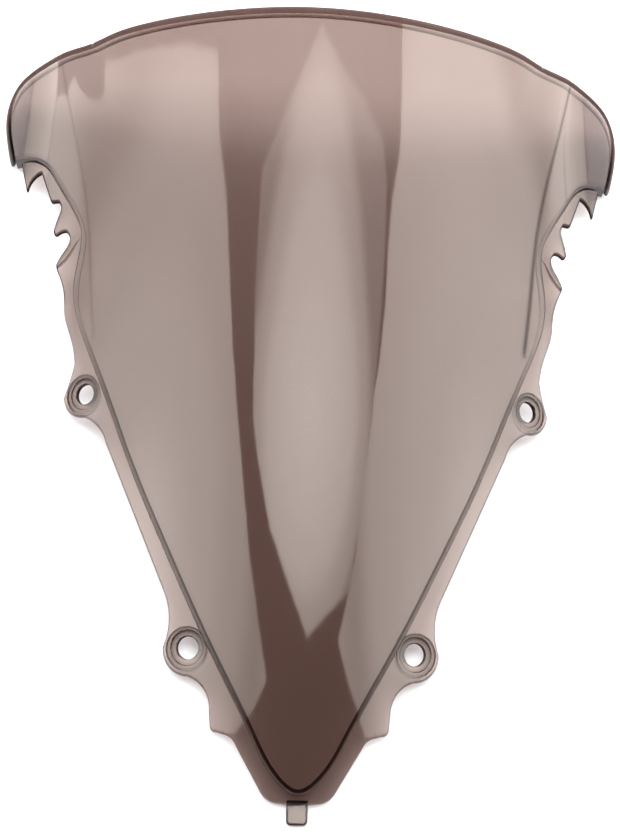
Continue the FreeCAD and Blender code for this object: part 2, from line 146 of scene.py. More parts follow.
# The thickness that a piece's colour goes by, as a share of its own, and its most in mm.
COLOUR_SHARE = {"flange": 0.84, "blade": 0.84, "eye": 0.88, "tongue": 1.2}
COLOUR_MOST = {"step": 3.2}


# ---------------------------------------------------------------- the curved sheet
def soft_ramp(u, softness):
    return (u + np.hypot(u, softness)) / 2


def height(x, y):
    """Height of the panel's outer face, in mm."""
    x = np.abs(x)
    forward = REAR_Y - y
    crown = NOSE_HIGH + CROWN_SLOPE * (y - NOSE_Y)
    swell = np.maximum(0, (y - BUBBLE_FROM) / BUBBLE_LONG) ** 2
    valley = VALLEY_X - VALLEY_TAPER * forward
    bubble = BUBBLE_RISE * swell * soft_ramp(1 - (x / valley) ** 2, BUBBLE_SOFT)
    fold = FOLD_X - FOLD_TAPER * forward
    folding = np.clip((y - FOLD_FROM) / FOLD_LONG, 0, 1)
    wing = FOLD_SLOPE * folding * soft_ramp(x - fold, FOLD_SOFT)
    return crown - CROSS_CURVE * x * x + bubble - wing


def slopes(x, y, step=0.25):
    """How fast the outer face rises along X and along Y."""
    along_x = (height(x + step, y) - height(x - step, y)) / (2 * step)
    along_y = (height(x, y + step) - height(x, y - step)) / (2 * step)
    return along_x, along_y


def unit(vectors):
    return vectors / np.linalg.norm(vectors, axis=-1, keepdims=True)


def normals(x, y):
    a, b = slopes(x, y)
    return unit(np.stack([-a, -b, np.ones_like(a)], -1))


# ---------------------------------------------------------------- plan curves
def resample(points, step=STEP):
    """Points about one step apart along a polyline, its ends kept."""
    points = np.asarray(points, float)
    run = np.concatenate([[0], np.cumsum(np.linalg.norm(np.diff(points, axis=0), axis=1))])
    at = np.linspace(0, run[-1], max(2, int(round(run[-1] / step)) + 1))
    return np.stack([np.interp(at, run, points[:, 0]), np.interp(at, run, points[:, 1])], 1)


def spline(points, step=STEP):
    """A natural cubic spline through the points, by chord length, as a polyline."""
    p = np.asarray(points, float)
    t = np.concatenate([[0], np.cumsum(np.linalg.norm(np.diff(p, axis=0), axis=1))])
    n, gap = len(p), np.diff(t)
    a, b = np.zeros((n, n)), np.zeros((n, 2))
    a[0, 0] = a[-1, -1] = 1
    for i in range(1, n - 1):
        a[i, i - 1:i + 2] = gap[i - 1], 2 * (gap[i - 1] + gap[i]), gap[i]
        b[i] = 6 * ((p[i + 1] - p[i]) / gap[i] - (p[i] - p[i - 1]) / gap[i - 1])
    bend = np.linalg.solve(a, b)
    at = np.linspace(0, t[-1], int(t[-1] / (step / 4)) + 2)
    k = np.clip(np.searchsorted(t, at, side="right") - 1, 0, n - 2)
    u, v, g = (t[k + 1] - at)[:, None], (at - t[k])[:, None], gap[k][:, None]
    curve = (bend[k] * u ** 3 + bend[k + 1] * v ** 3) / (6 * g)
    curve += (p[k] / g - bend[k] * g / 6) * u + (p[k + 1] / g - bend[k + 1] * g / 6) * v
    return resample(curve, step)


def arc(a, b, c, step=STEP):
    """The circular arc from a through b to c."""
    a, b, c = (np.asarray(q, float) for q in (a, b, c))
    m = 2 * np.array([b - a, c - a])
    centre = np.linalg.solve(m, np.array([b @ b - a @ a, c @ c - a @ a]))
    angles = [math.atan2(*(q - centre)[::-1]) for q in (a, b, c)]
    turn = (angles[2] - angles[0]) % (2 * math.pi)
    if (angles[1] - angles[0]) % (2 * math.pi) > turn:
        turn -= 2 * math.pi
    radius = np.linalg.norm(a - centre)
    sweep = np.linspace(0, turn, max(4, int(abs(turn) * radius / step) + 1)) + angles[0]
    return centre + radius * np.stack([np.cos(sweep), np.sin(sweep)], 1)


def joined(pieces):
    """Polylines one after another, without the repeated ends."""
    return np.concatenate([pieces[0]] + [p[1:] for p in pieces[1:]])


def flange_edge():
    runs = []
    for kind, *points in FLANGE_EDGE:
        if kind == "line":
            runs += [resample(pair) for pair in zip(points, points[1:])]
        else:
            runs.append(arc(*points) if kind == "arc" else spline(points))
    return joined(runs)


def flip(points):
    """The mirror image of a polyline, run the other way."""
    return np.asarray(points)[::-1] * (-1, 1)


def both_sides(points):
    """A right half that starts on the middle plane, with its mirror image before it."""
    return np.concatenate([flip(points), np.asarray(points)[1:]])


def left_normals(points):
    along = np.gradient(points, axis=0)
    return unit(np.stack([-along[:, 1], along[:, 0]], 1))


def beside(points, distance):
    """The polyline moved to its own left."""
    return points + left_normals(points) * distance


def nearest(points, line):
    """Each point's distance to a polyline, its foot there, the side (1 left, -1 right) and the segment."""
    tree = kdtree.KDTree(len(line))
    for i, q in enumerate(line):
        tree.insert((q[0], q[1], 0), i)
    tree.balance()
    close = np.array([tree.find((q[0], q[1], 0))[1] for q in points])
    best = np.full(len(points), np.inf)
    foot, side, segment = np.zeros((len(points), 2)), np.ones(len(points)), np.zeros(len(points), int)
    for k in (np.clip(close - 1, 0, len(line) - 2), np.clip(close, 0, len(line) - 2)):
        a, ab = line[k], line[k + 1] - line[k]
        t = np.clip(((points - a) * ab).sum(1) / np.maximum((ab ** 2).sum(1), 1e-12), 0, 1)
        q = a + ab * t[:, None]
        d = np.linalg.norm(points - q, axis=1)
        cross = ab[:, 0] * (points - a)[:, 1] - ab[:, 1] * (points - a)[:, 0]
        better = d < best
        best[better], foot[better], segment[better] = d[better], q[better], k[better]
        side[better] = np.where(cross >= 0, 1, -1)[better]
    return best, foot, side, segment


def inside(points, loop):
    """True for each point inside a closed polygon."""
    loop = np.asarray(loop, float)
    a, b = loop, np.roll(loop, -1, axis=0)
    x, y = points[:, 0:1], points[:, 1:2]
    crosses = (a[:, 1] > y) != (b[:, 1] > y)
    with np.errstate(divide="ignore", invalid="ignore"):
        at = (b[:, 0] - a[:, 0]) * (y - a[:, 1]) / (b[:, 1] - a[:, 1]) + a[:, 0]
    return ((crosses & (x < at)).sum(1) % 2).astype(bool)


v_middle = spline(both_sides(V_LINE))
v_inner, v_outer = beside(v_middle, BAND), beside(v_middle, -BAND)
bead_outer = spline(both_sides(TRAILING_EDGE))
bead_inner = beside(bead_outer, -BEAD_WIDE)
rim = both_sides(flange_edge())
fold = spline(FOLD_LINE)


def field(points, line, growing):
    """Distance to a polyline, its side, and the direction in which it grows; growing is 1 to its left."""
    far, foot, side, k = nearest(points, line)
    along = np.diff(line, axis=0)[k]
    across = unit(np.stack([-along[:, 1], along[:, 0]], 1)) * growing
    clear = far > ON_LINE
    across[clear] = ((points - foot) / np.maximum(far, 1e-9)[:, None])[clear]
    return far, side, across


# ---------------------------------------------------------------- fixing eyes
def eye_frame(sign, level):
    """An eye's centre on the outer face, its outward normal and two directions in its plane."""
    x, y = sign * EYES[level][0], EYES[level][1]
    normal = normals(np.array(float(x)), np.array(float(y)))
    centre = np.array([x, y, float(height(np.array(float(x)), np.array(float(y))))])
    u = unit(np.cross([0.0, 1.0, 0.0], normal))
    return centre, normal, u, np.cross(normal, u)


def eye_loop(sign, level):
    """The eye's outline in plan: its round seat, cut off along the step beside it."""
    centre, normal, u, v = eye_frame(sign, level)
    sweep = np.linspace(0, 2 * math.pi, EYE_SIDES, endpoint=False)[:, None]
    disc = (centre - normal * JOGGLE + SEAT_R * (np.cos(sweep) * u + np.sin(sweep) * v))[:, :2]
    far, _, side, _ = nearest(disc, v_middle)
    keep = disc[(-side * far) > BAND + EYE_TO_STEP]
    cut = v_outer[inside(v_outer, disc)]
    loop = np.concatenate([keep, cut])
    middle = loop.mean(0)
    order = np.argsort(np.arctan2(loop[:, 1] - middle[1], loop[:, 0] - middle[0]))
    return loop[order]


# ---------------------------------------------------------------- one triangulation of the plan
def closed(points):
    return np.concatenate([points, points[:1]])


def plan_lines():
    """Every line of the plan that the triangles have to follow."""
    ends = [np.array([bead_outer[i], bead_inner[i]]) for i in (0, -1)]
    lines = [v_inner, v_outer, bead_outer, bead_inner, rim] + [resample(e) for e in ends]
    across_step = np.array([(0, NOSE_Y - 2), (0, NOSE_Y + 2)])
    nose_split = resample([(-NOSE_SPLIT_HALF, NOSE_SPLIT), (NOSE_SPLIT_HALF, NOSE_SPLIT)])
    lines += [across_step, nose_split]
    right = [
        fold,
        resample([FOLD_LINE[0], (WING_END_X, WING_END)]),
        np.array([(NOTCH_X, REAR_Y - 10), (NOTCH_X, REAR_Y)]),
        spline(BLADE_EDGE),
        resample(BLADE_END),
        resample(EAR_SPLIT),
    ]
    for line in right:
        lines += [line, flip(line)]
    return lines + [closed(eye_loop(s, level)) for s in (-1, 1) for level in EYES]


def plan_points(lines):
    """Loose points: rows beside rounded edges and the step, and a grid that fills the rest."""
    rows = [beside(rim, d) for d in RIM_ROWS]
    rows += [beside(bead_outer, -d) for d in BEAD_ROWS]
    rows += [beside(v_middle, -s) for s in STEP_ROWS]
    for d in FOLD_ROWS:
        rows += [beside(fold, d), flip(beside(fold, d))]
    loose = []
    outline = closed(np.concatenate([rim, bead_outer[::-1]]))
    half = np.arange(0, GRID_HALF, GRID)
    xs = np.concatenate([-half[:0:-1], half])
    for i, y in enumerate(np.arange(GRID_FRONT, GRID_REAR, GRID * ROW_PITCH)):
        loose.append(np.stack([xs + (i % 2) * GRID / 2, np.full(len(xs), y)], 1))
    grid = np.concatenate(loose)
    grid = grid[inside(grid, outline)]
    for line in lines:
        grid = grid[nearest(grid, line)[0] > GRID_TO_LINE]
    for row in rows:
        grid = grid[nearest(grid, row)[0] > GRID_TO_ROW]
    rows = np.concatenate(rows)
    for line in lines:
        rows = rows[nearest(rows, line)[0] > ROW_TO_LINE]
    rows = rows[inside(rows, outline)]
    return np.concatenate([grid, rows])


def triangulate():
    """The plan's points and triangles."""
    lines = plan_lines()
    points, links, seen = [], [], {}

    def number(q):
        key = (round(float(q[0]), 3), round(float(q[1]), 3))
        if key not in seen:
            seen[key] = len(points)
            points.append(key)
        return seen[key]

    for line in lines:
        numbers = [number(q) for q in line]
        links += [(i, j) for i, j in zip(numbers, numbers[1:]) if i != j]
    for q in plan_points(lines):
        number(q)
    result = geometry.delaunay_2d_cdt([Vector(q) for q in points], links, [], 0, 1e-4, False)
    plan = np.array([tuple(q) for q in result[0]])
    return plan, np.array(result[2])


# ---------------------------------------------------------------- cross-sections: offsets from the outer face
def drop(d, radius):
    """How far a rounded edge has fallen at a distance d from it."""
    d = np.clip(d, 0, radius)
    return radius - np.sqrt(np.maximum(radius ** 2 - (radius - d) ** 2, 0))


def smooth_step(d, width):
    t = np.clip(d / width, 0, 1)
    return t * t * (3 - 2 * t)


def flange_top(d):
    return -JOGGLE - drop(d, EDGE_ROUND)


def flange_bottom(d):
    return -JOGGLE - SHEET + drop(d, EDGE_ROUND)


def bead_top(d):
    return BEAD_PROUD * smooth_step(BEAD_WIDE - d, BEAD_RISE) - drop(d, BEAD_ROUND)


def bead_bottom(d):
    return -SHEET - BEAD_DEEP * smooth_step(BEAD_WIDE - d, BEAD_RISE) + drop(d, BEAD_ROUND)


def step_top(s):
    return -drop(BAND - s, STEP_ROUND)


def step_bottom(s):
    return -JOGGLE - SHEET + drop(s + BAND, STEP_ROUND)


# For each kind of piece: the field that it goes by, and its outer and inner face.
SECTIONS = {
    "panel": ("flat", lambda d: 0 * d, lambda d: 0 * d - SHEET),
    "bead": ("bead", bead_top, bead_bottom),
    "step": ("step", step_top, step_bottom),
    "flange": ("rim", flange_top, flange_bottom),
    "blade": ("rim", flange_top, flange_bottom),
    "eye": ("flat", lambda d: 0 * d - JOGGLE - SEAT_DEEP,
            lambda d: 0 * d - JOGGLE - SEAT_DEEP - EYE_THICK),
}
KINDS = {
    "bubble_panel": "panel", "wing": "panel", "centre_edge_bead": "bead", "edge_bead": "bead",
    "joggle": "step", "nose_flange": "flange", "flange": "flange", "blade_hook": "blade",
    "side_hook": "flange", "ear_hook": "flange", "lower_eye": "eye", "upper_eye": "eye",
}


def kind_of(piece):
    return KINDS[piece.replace("left_", "").replace("right_", "")]


def share_out(plan, triangles):
    """The name of the piece that each triangle belongs to, or an empty name outside the screen."""
    mid = plan[triangles].mean(1)
    x, y = mid[:, 0], mid[:, 1]
    side_name = np.where(x < 0, "left_", "right_").astype(object)
    flat = np.stack([np.abs(x), y], 1)
    far, _, side, _ = nearest(mid, v_middle)
    s = -side * far
    in_bead = inside(mid, np.concatenate([bead_outer, bead_inner[::-1]]))
    ends = [(bead_inner[-1, 0], -GRID_HALF), (bead_inner[0, 0], -GRID_HALF)]
    within = inside(mid, np.concatenate([bead_inner, ends]))
    in_flange = inside(mid, rim) & (s > BAND) & ~in_bead
    fold_x = np.interp(y, fold[:, 1], fold[:, 0])
    names = np.full(len(mid), "", dtype=object)
    names[in_flange] = (side_name + "flange")[in_flange]
    names[in_flange & (y < NOSE_SPLIT)] = "nose_flange"
    blade = inside(flat, np.concatenate([spline(BLADE_EDGE), BLADE_END[1:]]))
    for area, name in ((blade, "blade_hook"), (inside(flat, SIDE_HOOK_AREA), "side_hook"),
                       (inside(flat, EAR_HOOK_AREA), "ear_hook")):
        names[in_flange & area] = (side_name + name)[in_flange & area]
    for sign, label in ((-1, "left_"), (1, "right_")):
        for level in EYES:
            names[in_flange & inside(mid, eye_loop(sign, level))] = label + level + "_eye"
    names[within & (s < -BAND)] = "bubble_panel"
    wing = within & (s < -BAND) & (y > WING_END) & (np.abs(x) > fold_x)
    names[wing] = (side_name + "wing")[wing]
    step = within & (np.abs(s) < BAND)
    names[step] = (side_name + "joggle")[step]
    names[in_bead] = np.where(np.abs(x) < NOTCH_X, "centre_edge_bead", side_name + "edge_bead")[in_bead]
    return names


# ---------------------------------------------------------------- from the plan to solid pieces
FACE, WALL, CONTACT = 0, 1, 2      # material slots
SAME_WAY = 0.8                     # walls whose directions agree more than this shade as one


class Plan:
    """The shared plan with what every vertex needs to be lifted into place."""

    def __init__(self):
        self.points, self.triangles = triangulate()
        self.names = share_out(self.points, self.triangles)
        x, y = self.points.T
        self.z = height(x, y)
        self.slope = np.stack(slopes(x, y), 1)
        self.upright = 1 / np.sqrt(1 + (self.slope ** 2).sum(1))
        far, side, across = field(self.points, v_middle, -1)
        clear = far > ON_LINE
        across[clear] *= -side[clear, None]
        none = np.zeros(len(x))
        self.fields = {"step": (-side * far, across), "flat": (none, np.zeros_like(self.points))}
        for name, line, growing in (("rim", rim, 1), ("bead", bead_outer, -1)):
            far, _, across = field(self.points, line, growing)
            self.fields[name] = (far, across)
        self.faces = {kind: self.lift(kind) for kind in SECTIONS}
        self.dark = self.darkness()
        self.owners = {}
        for number, corners in enumerate(self.triangles):
            for a, b in zip(corners, np.roll(corners, -1)):
                self.owners.setdefault((min(a, b), max(a, b)), []).append(number)

    def darkness(self):
        """Painted shade and light: how much darker than flat sheet each plan point looks, for each kind of
        piece.
        """
        x, y = self.points.T
        # Painted shade along both folds, faint on the left and stronger on the right.
        near = np.minimum(nearest(self.points, fold)[0], nearest(self.points, flip(fold))[0])
        forward = np.clip((CREASE_REAR - y) / CREASE_LONG, 0, 1)
        crease_shade = np.where(x > 0, CREASE_SHADE_RIGHT + CREASE_SHADE_RIGHT_MORE * forward, CREASE_SHADE_LEFT)
        crease_shade = crease_shade * np.clip((y - CREASE_FROM) / CREASE_FADE, 0, 1)
        s, from_bead, from_rim = (self.fields[name][0] for name in ("step", "bead", "rim"))
        # Painted shade along the flange's free edge, stronger on the hooks behind HOOKS_Y.
        edge = np.clip(1 - from_rim / EDGE_ROUND, 0, 1) * np.where(y > HOOKS_Y, RIM_DARK_REAR, RIM_DARK)
        return {
            "panel": crease_shade * np.exp(-(near / (CREASE_WIDE + CREASE_WIDER * forward)) ** 2),
            # painted shade on the step
            "step": np.interp(y, *STEP_DARK) * np.clip(STEP_DARK_TO - s, STEP_DARK_LEAST, 1),
            # painted light and painted shade across the bead
            "bead": np.interp(from_bead, *BEAD_DARK),
            "flange": edge,
            "blade": edge,
        }

    def lift(self, kind):
        """For each plan point: outer offset, inner offset, and the unit normals of the two faces."""
        name, *profiles = SECTIONS[kind]
        d, across = self.fields[name]
        e, steepest = 0.04, 6
        result = []
        for profile, outward in zip(profiles, (1, -1)):
            offset = profile(d)
            low = d - e if name == "step" else np.maximum(d - e, 0)
            steep = np.clip((profile(d + e) - profile(low)) / (d + e - low), -steepest, steepest)
            grade = self.slope + (steep / self.upright)[:, None] * across
            normal = unit(np.concatenate([-grade, np.ones((len(d), 1))], 1)) * outward
            if kind == "blade":
                offset = offset + BLADE_UP * smooth_step(BLADE_Y - self.points[:, 1], BLADE_FADE)
            result.append((offset, normal))
        return result

    def place(self, v, offset):
        """A point above plan vertex v, at an offset from the outer face."""
        return (self.points[v, 0], self.points[v, 1], self.z[v] + offset / self.upright[v])


def wall_bands(plan, v, kind, other):
    """Offsets of a wall at plan vertex v: its top, the two ends of the contact, and its foot."""
    top, foot = (plan.faces[kind][i][0][v] for i in (0, 1))
    if other is None:
        return top, foot, foot, foot
    high = min(top, plan.faces[other][0][0][v])
    low = max(foot, plan.faces[other][1][0][v])
    touching = high - low > 1e-3
    return (top, high, low, foot) if touching else (top, foot, foot, foot)


def build_piece(plan, name):
    """One closed mesh: outer face, inner face and walls; contacts with neighbours get their own material."""
    kind = kind_of(name)
    mine = np.flatnonzero(plan.names == name)
    own = set(mine.tolist())
    (top, top_normal), (foot, foot_normal) = plan.faces[kind]
    vertices, numbers, faces, slots, loops = [], {}, [], [], []
    thick = []

    def vertex(v, offset):
        key = (v, round(float(offset), 3))
        if key not in numbers:
            numbers[key] = len(vertices)
            vertices.append([c * MM for c in plan.place(v, offset)])
            thickness = min(float(top[v] - foot[v]), COLOUR_MOST.get(kind, math.inf))
            thick.append((thickness * COLOUR_SHARE.get(kind, 1.0), float(plan.dark[kind][v])))
        return numbers[key]

    def outwards(a, b):
        """The plan direction out of this piece, across its edge from a to b."""
        along = plan.points[b] - plan.points[a]
        return np.array([along[1], -along[0], 0]) / np.linalg.norm(along)

    edges = []
    for number in mine:
        corners = [int(v) for v in plan.triangles[number]]
        faces.append([vertex(v, top[v]) for v in corners])
        loops += [top_normal[v] for v in corners]
        faces.append([vertex(v, foot[v]) for v in corners[::-1]])
        loops += [foot_normal[v] for v in corners[::-1]]
        slots += [FACE, FACE]
        for a, b in zip(corners, corners[1:] + corners[:1]):
            around = [t for t in plan.owners[(min(a, b), max(a, b))] if t not in own]
            alone = len(plan.owners[(min(a, b), max(a, b))]) == 1
            if around or alone:
                other = plan.names[around[0]] if around else ""
                edges.append((a, b, kind_of(other) if other else None))
    levels, outward = {}, {}
    for a, b, other in edges:
        for v in (a, b):
            levels.setdefault(v, set()).update(round(float(q), 3) for q in wall_bands(plan, v, kind, other))
            outward.setdefault(v, []).append(outwards(a, b))
    for a, b, other in edges:
        out = outwards(a, b)
        normal = {v: unit(sum(q for q in outward[v] if q @ out > SAME_WAY)) for v in (a, b)}
        bands = [wall_bands(plan, v, kind, other) for v in (a, b)]
        for band in range(3):
            ends = []
            for v, cuts in zip((a, b), bands):
                high, low = round(float(cuts[band]), 3), round(float(cuts[band + 1]), 3)
                ends.append([(v, q) for q in sorted(levels[v], reverse=True) if low <= q <= high])
            ring = ends[0] + ends[1][::-1]
            if len(ends[0]) < 2 and len(ends[1]) < 2:
                continue
            faces.append([vertex(v, q) for v, q in ring])
            loops += [normal[v] for v, _ in ring]
            slots.append(CONTACT if band == 1 and other is not None else WALL)
    return vertices, faces, slots, loops, thick


def make_object(name, vertices, faces, slots, loops, thick):
    mesh = bpy.data.meshes.new(name)
    mesh.from_pydata(vertices, [], faces)
    mesh.polygons.foreach_set("material_index", slots)
    mesh.polygons.foreach_set("use_smooth", [True] * len(faces))
    for label, values in zip(("thick", "dark"), np.array(thick, dtype=np.float32).T):
        mesh.attributes.new(label, "FLOAT", "POINT").data.foreach_set("value", np.ascontiguousarray(values))
    if loops is not None:
        mesh.normals_split_custom_set([tuple(n) for n in loops])
    piece = bpy.data.objects.new("screen_" + name, mesh)
    bpy.context.scene.collection.objects.link(piece)
    return piece


def add_loft(rings, closing=True):
    """Quads between rings of equal length; closing joins the last ring to the first."""
    count, faces = len(rings[0]), []
    last = len(rings) if closing else len(rings) - 1
    for r in range(last):
        low, high = r * count, ((r + 1) % len(rings)) * count
        for i in range(count):
            j = (i + 1) % count
            faces.append([low + i, low + j, high + j, high + i])
    return [q for ring in rings for q in ring], faces


def on_offset(points, offset):
    """Plan points raised to an offset from the outer face."""
    x, y = points.T
    a, b = slopes(x, y)
    return np.stack([x, y, height(x, y) + offset * np.sqrt(1 + a * a + b * b)], 1)


def build_eye(sign, level):
    """A round recessed seat with a deeper ring around the hole, cut off along the step beside it."""
    centre, normal, u, v = eye_frame(sign, level)
    loop = eye_loop(sign, level)
    seat = JOGGLE + SEAT_DEEP
    floor_of_ring, foot = seat + RING_DEEP, seat + EYE_THICK
    outer = on_offset(loop, -seat)
    arm = outer - (centre - normal * seat)
    reach = np.hypot(arm @ u, arm @ v)[:, None]
    spoke = ((arm @ u)[:, None] * u + (arm @ v)[:, None] * v) / reach

    def ring(radius, depth):
        return centre - normal * depth + spoke * np.minimum(radius, reach - 0.25)

    # Up the outside, in over the seat, down into the ring, and down the hole, with small roundings.
    rings = [
        on_offset(loop, -foot),
        on_offset(loop, -JOGGLE - SHEET),
        outer,
        ring(RING_R + 0.9, seat),
        ring(RING_R + 0.25, seat + 0.03),
        ring(RING_R, seat + 0.2),
        ring(RING_R - 0.1, floor_of_ring),
        ring(HOLE_R + 0.7, floor_of_ring),
        ring(HOLE_R + 0.2, floor_of_ring + 0.08),
        ring(HOLE_R, floor_of_ring + 0.35),
        ring(HOLE_R, foot - 0.3),
        ring(HOLE_R + 0.25, foot),
    ]
    vertices, faces = add_loft(rings)
    first_lower = 6      # the first ring below the seat
    slot_of = [WALL, CONTACT, FACE, FACE, FACE, WALL, FACE, FACE, FACE, WALL, WALL, FACE]
    count = len(loop)
    slots = [slot_of[r] for r in range(len(rings)) for _ in range(count)]
    shade = 0.6 + 0.4 * spoke[:, 1]      # painted shade, darker towards the rear
    thick = []
    # Painted shade on each ring of the eye.
    for number, dark in enumerate(EYE_DARK):
        sheet = (EYE_THICK if number < first_lower else EYE_THICK - RING_DEEP) * COLOUR_SHARE["eye"]
        thick += [(sheet, dark * float(q)) for q in shade]
    return [[c * MM for c in q] for q in vertices], faces, slots, None, thick


def tongue_ring(inset, z_of):
    """One ring of the tongue: a rectangle with rounded free corners, drawn inwards by inset."""
    half, radius = TONGUE_HALF - inset, TONGUE_ROUND - inset
    tip, root = TONGUE_TIP + inset, TONGUE_ROOT - inset
    turn = np.linspace(0, math.pi / 2, 9)
    right = np.stack([half - radius + radius * np.sin(turn), tip + radius - radius * np.cos(turn)], 1)
    side = np.stack([np.full(6, half), np.linspace(tip + radius + 1, root, 6)], 1)
    half_ring = np.concatenate([right, side])
    ring = np.concatenate([half_ring, flip(half_ring)])
    return [(x, y, z_of(x, y)) for x, y in ring]


def build_tongue():
    """The flat tongue, whose root lies against the underside of the nose flange."""
    flange_front, gap = -190.5, 0.02

    def roof(x, y, fallen):
        x, y = np.array(float(x)), np.array(float(y))
        a, b = slopes(x, y)
        under = float(height(x, y) - (JOGGLE + SHEET) * np.sqrt(1 + a * a + b * b)) - gap
        return min(TONGUE_THICK - fallen, under) if y > flange_front else TONGUE_THICK - fallen

    rings = []
    rounding = ((1.2, 0.0), (0.45, 0.0), (0.2, 0.08), (0.06, 0.22), (0.0, 0.45))      # inwards and downwards
    for inset, fallen in rounding:
        rings.append(tongue_ring(inset, lambda x, y: fallen))
    for inset, fallen in rounding[::-1]:
        rings.append(tongue_ring(inset, lambda x, y: roof(x, y, fallen)))
    vertices, faces = add_loft(rings, closing=False)
    count = len(rings[0])
    faces = [list(range(count))[::-1]] + faces + [list(range(len(vertices) - count, len(vertices)))]
    thickness = TONGUE_THICK * COLOUR_SHARE["tongue"]
    outline, upright = range(1, len(rings) - 1), range(3, 6)
    # Painted shade on the outline rings.
    thick = [(thickness, TONGUE_DARK if n // count in outline else 0.0) for n in range(len(vertices))]
    slots = [WALL if n // count in upright else FACE for n in range(len(faces) - 2)]
    slots = [FACE, *slots, FACE]
    return [[c * MM for c in q] for q in vertices], faces, slots, None, thick


# ---------------------------------------------------------------- smoked acrylic
TINT = (0.252, 0.181, 0.16)             # what 3 mm of the sheet lets through, head on
PAINTED_LIGHT_WALL_TINT = (0.45, 0.41, 0.43)          # painted light: the pale, bluish bead and flange walls
PAINTED_LIGHT_WALL_CAST = (0.8, 0.82, 0.88)
PAINTED_SHADE_WALL_TINT = (0.032, 0.014, 0.01)        # painted shade: near black on all other walls
FACE_ROUGH, EDGE_ROUGH = 0.03, 0.12
IOR = 1.49
MOST_SHINE = 0.09                       # keeps the bright cards from washing out the sheet at low angles
DULLED = 0.85                           # painted shade: the share of its shine that a fully dark place loses
CLOUDS, GRAIN, WAVES = 14, 900, 45      # how fine three noise patterns are, in repeats to the metre
CLOUDY = 0.06                           # how much the clouds vary the tint's depth
GRAIN_ROUGH = 0.03                      # how much the grain varies the roughness
WAVE_STRENGTH, WAVE_HIGH = 0.05, 0.0004      # the bump that the waves make, in metres


def math_node(tree, operation, *values):
    node = tree.nodes.new("ShaderNodeMath")
    node.operation = operation
    for socket, value in zip(node.inputs, values):
        if isinstance(value, (int, float)):
            socket.default_value = value
        else:
            tree.links.new(value, socket)
    return node.outputs[0]


def noise_node(tree, where, scale):
    node = tree.nodes.new("ShaderNodeTexNoise")
    node.inputs["Scale"].default_value = scale
    tree.links.new(where, node.inputs["Vector"])
    return node.outputs["Fac"]


def smoked_acrylic(name, tint, roughness, cast=(1.0, 1.0, 1.0)):
    """A polished tinted sheet: light passes straight through and is absorbed by the sheet's thickness; the
    dark attribute adds painted shade as more depth and less shine.
    """
    mat = bpy.data.materials.new(name)
    mat.use_nodes = True
    tree = mat.node_tree
    tree.nodes.clear()
    new, link = tree.nodes.new, tree.links.new
    facing = new("ShaderNodeLayerWeight")
    facing.inputs["Blend"].default_value = 0.5
    cosine = math_node(tree, "SUBTRACT", 1.0, facing.outputs["Facing"])
    sine_2 = math_node(tree, "SUBTRACT", 1.0, math_node(tree, "MULTIPLY", cosine, cosine))
    bent = math_node(tree, "DIVIDE", sine_2, IOR ** 2)
    inner = math_node(tree, "SQRT", math_node(tree, "SUBTRACT", 1.0, bent))
    thick = new("ShaderNodeAttribute")
    thick.attribute_name = "thick"
    dark = new("ShaderNodeAttribute")
    dark.attribute_name = "dark"
    # Painted shade: the dark attribute is drawn as this much more sheet.
    painted_shade_depth = math_node(tree, "MULTIPLY", dark.outputs["Fac"], DARK_DEPTH)
    # Light goes in by one face and out by another, and each face takes half of the sheet's depth.
    depth = math_node(tree, "DIVIDE", math_node(tree, "ADD", thick.outputs["Fac"], painted_shade_depth), 2 * SHEET)
    where = new("ShaderNodeTexCoord").outputs["Object"]
    cloud, grain, wave = (noise_node(tree, where, scale) for scale in (CLOUDS, GRAIN, WAVES))
    share = math_node(tree, "MULTIPLY_ADD", cloud, CLOUDY, 1 - CLOUDY / 2)
    depth = math_node(tree, "MULTIPLY", depth, share)
    length = math_node(tree, "DIVIDE", depth, inner)
    absorb = new("ShaderNodeGamma")
    absorb.inputs["Color"].default_value = (*tint, 1)
    link(length, absorb.inputs["Gamma"])
    through = new("ShaderNodeMix")
    through.data_type = "RGBA"
    through.blend_type = "MULTIPLY"
    through.inputs["Factor"].default_value = 1
    link(absorb.outputs["Color"], through.inputs["A"])
    through.inputs["B"].default_value = (*cast, 1)
    clear = new("ShaderNodeBsdfTransparent")
    link(through.outputs["Result"], clear.inputs["Color"])
    gloss = new("ShaderNodeBsdfGlossy")
    link(math_node(tree, "MULTIPLY_ADD", grain, GRAIN_ROUGH, roughness), gloss.inputs["Roughness"])
    bump = new("ShaderNodeBump")
    bump.inputs["Strength"].default_value = WAVE_STRENGTH
    bump.inputs["Distance"].default_value = WAVE_HIGH
    link(wave, bump.inputs["Height"])
    link(bump.outputs["Normal"], gloss.inputs["Normal"])
    back = new("ShaderNodeNewGeometry")
    index = math_node(tree, "MULTIPLY_ADD", back.outputs["Backfacing"], 1 / IOR - IOR, IOR)
    fresnel = new("ShaderNodeFresnel")
    link(index, fresnel.inputs["IOR"])
    mix = new("ShaderNodeMixShader")
    # Painted shade dulls the mirror reflection too, and painted light below 0 makes it stronger.
    shine = math_node(tree, "MULTIPLY_ADD", dark.outputs["Fac"], -DULLED, 1.0)
    soft = math_node(tree, "MINIMUM", fresnel.outputs["Fac"], MOST_SHINE)
    link(math_node(tree, "MULTIPLY", soft, shine), mix.inputs["Fac"])
    link(clear.outputs["BSDF"], mix.inputs[1])
    link(gloss.outputs["BSDF"], mix.inputs[2])
    output = new("ShaderNodeOutputMaterial")
    link(mix.outputs["Shader"], output.inputs["Surface"])
    return mat


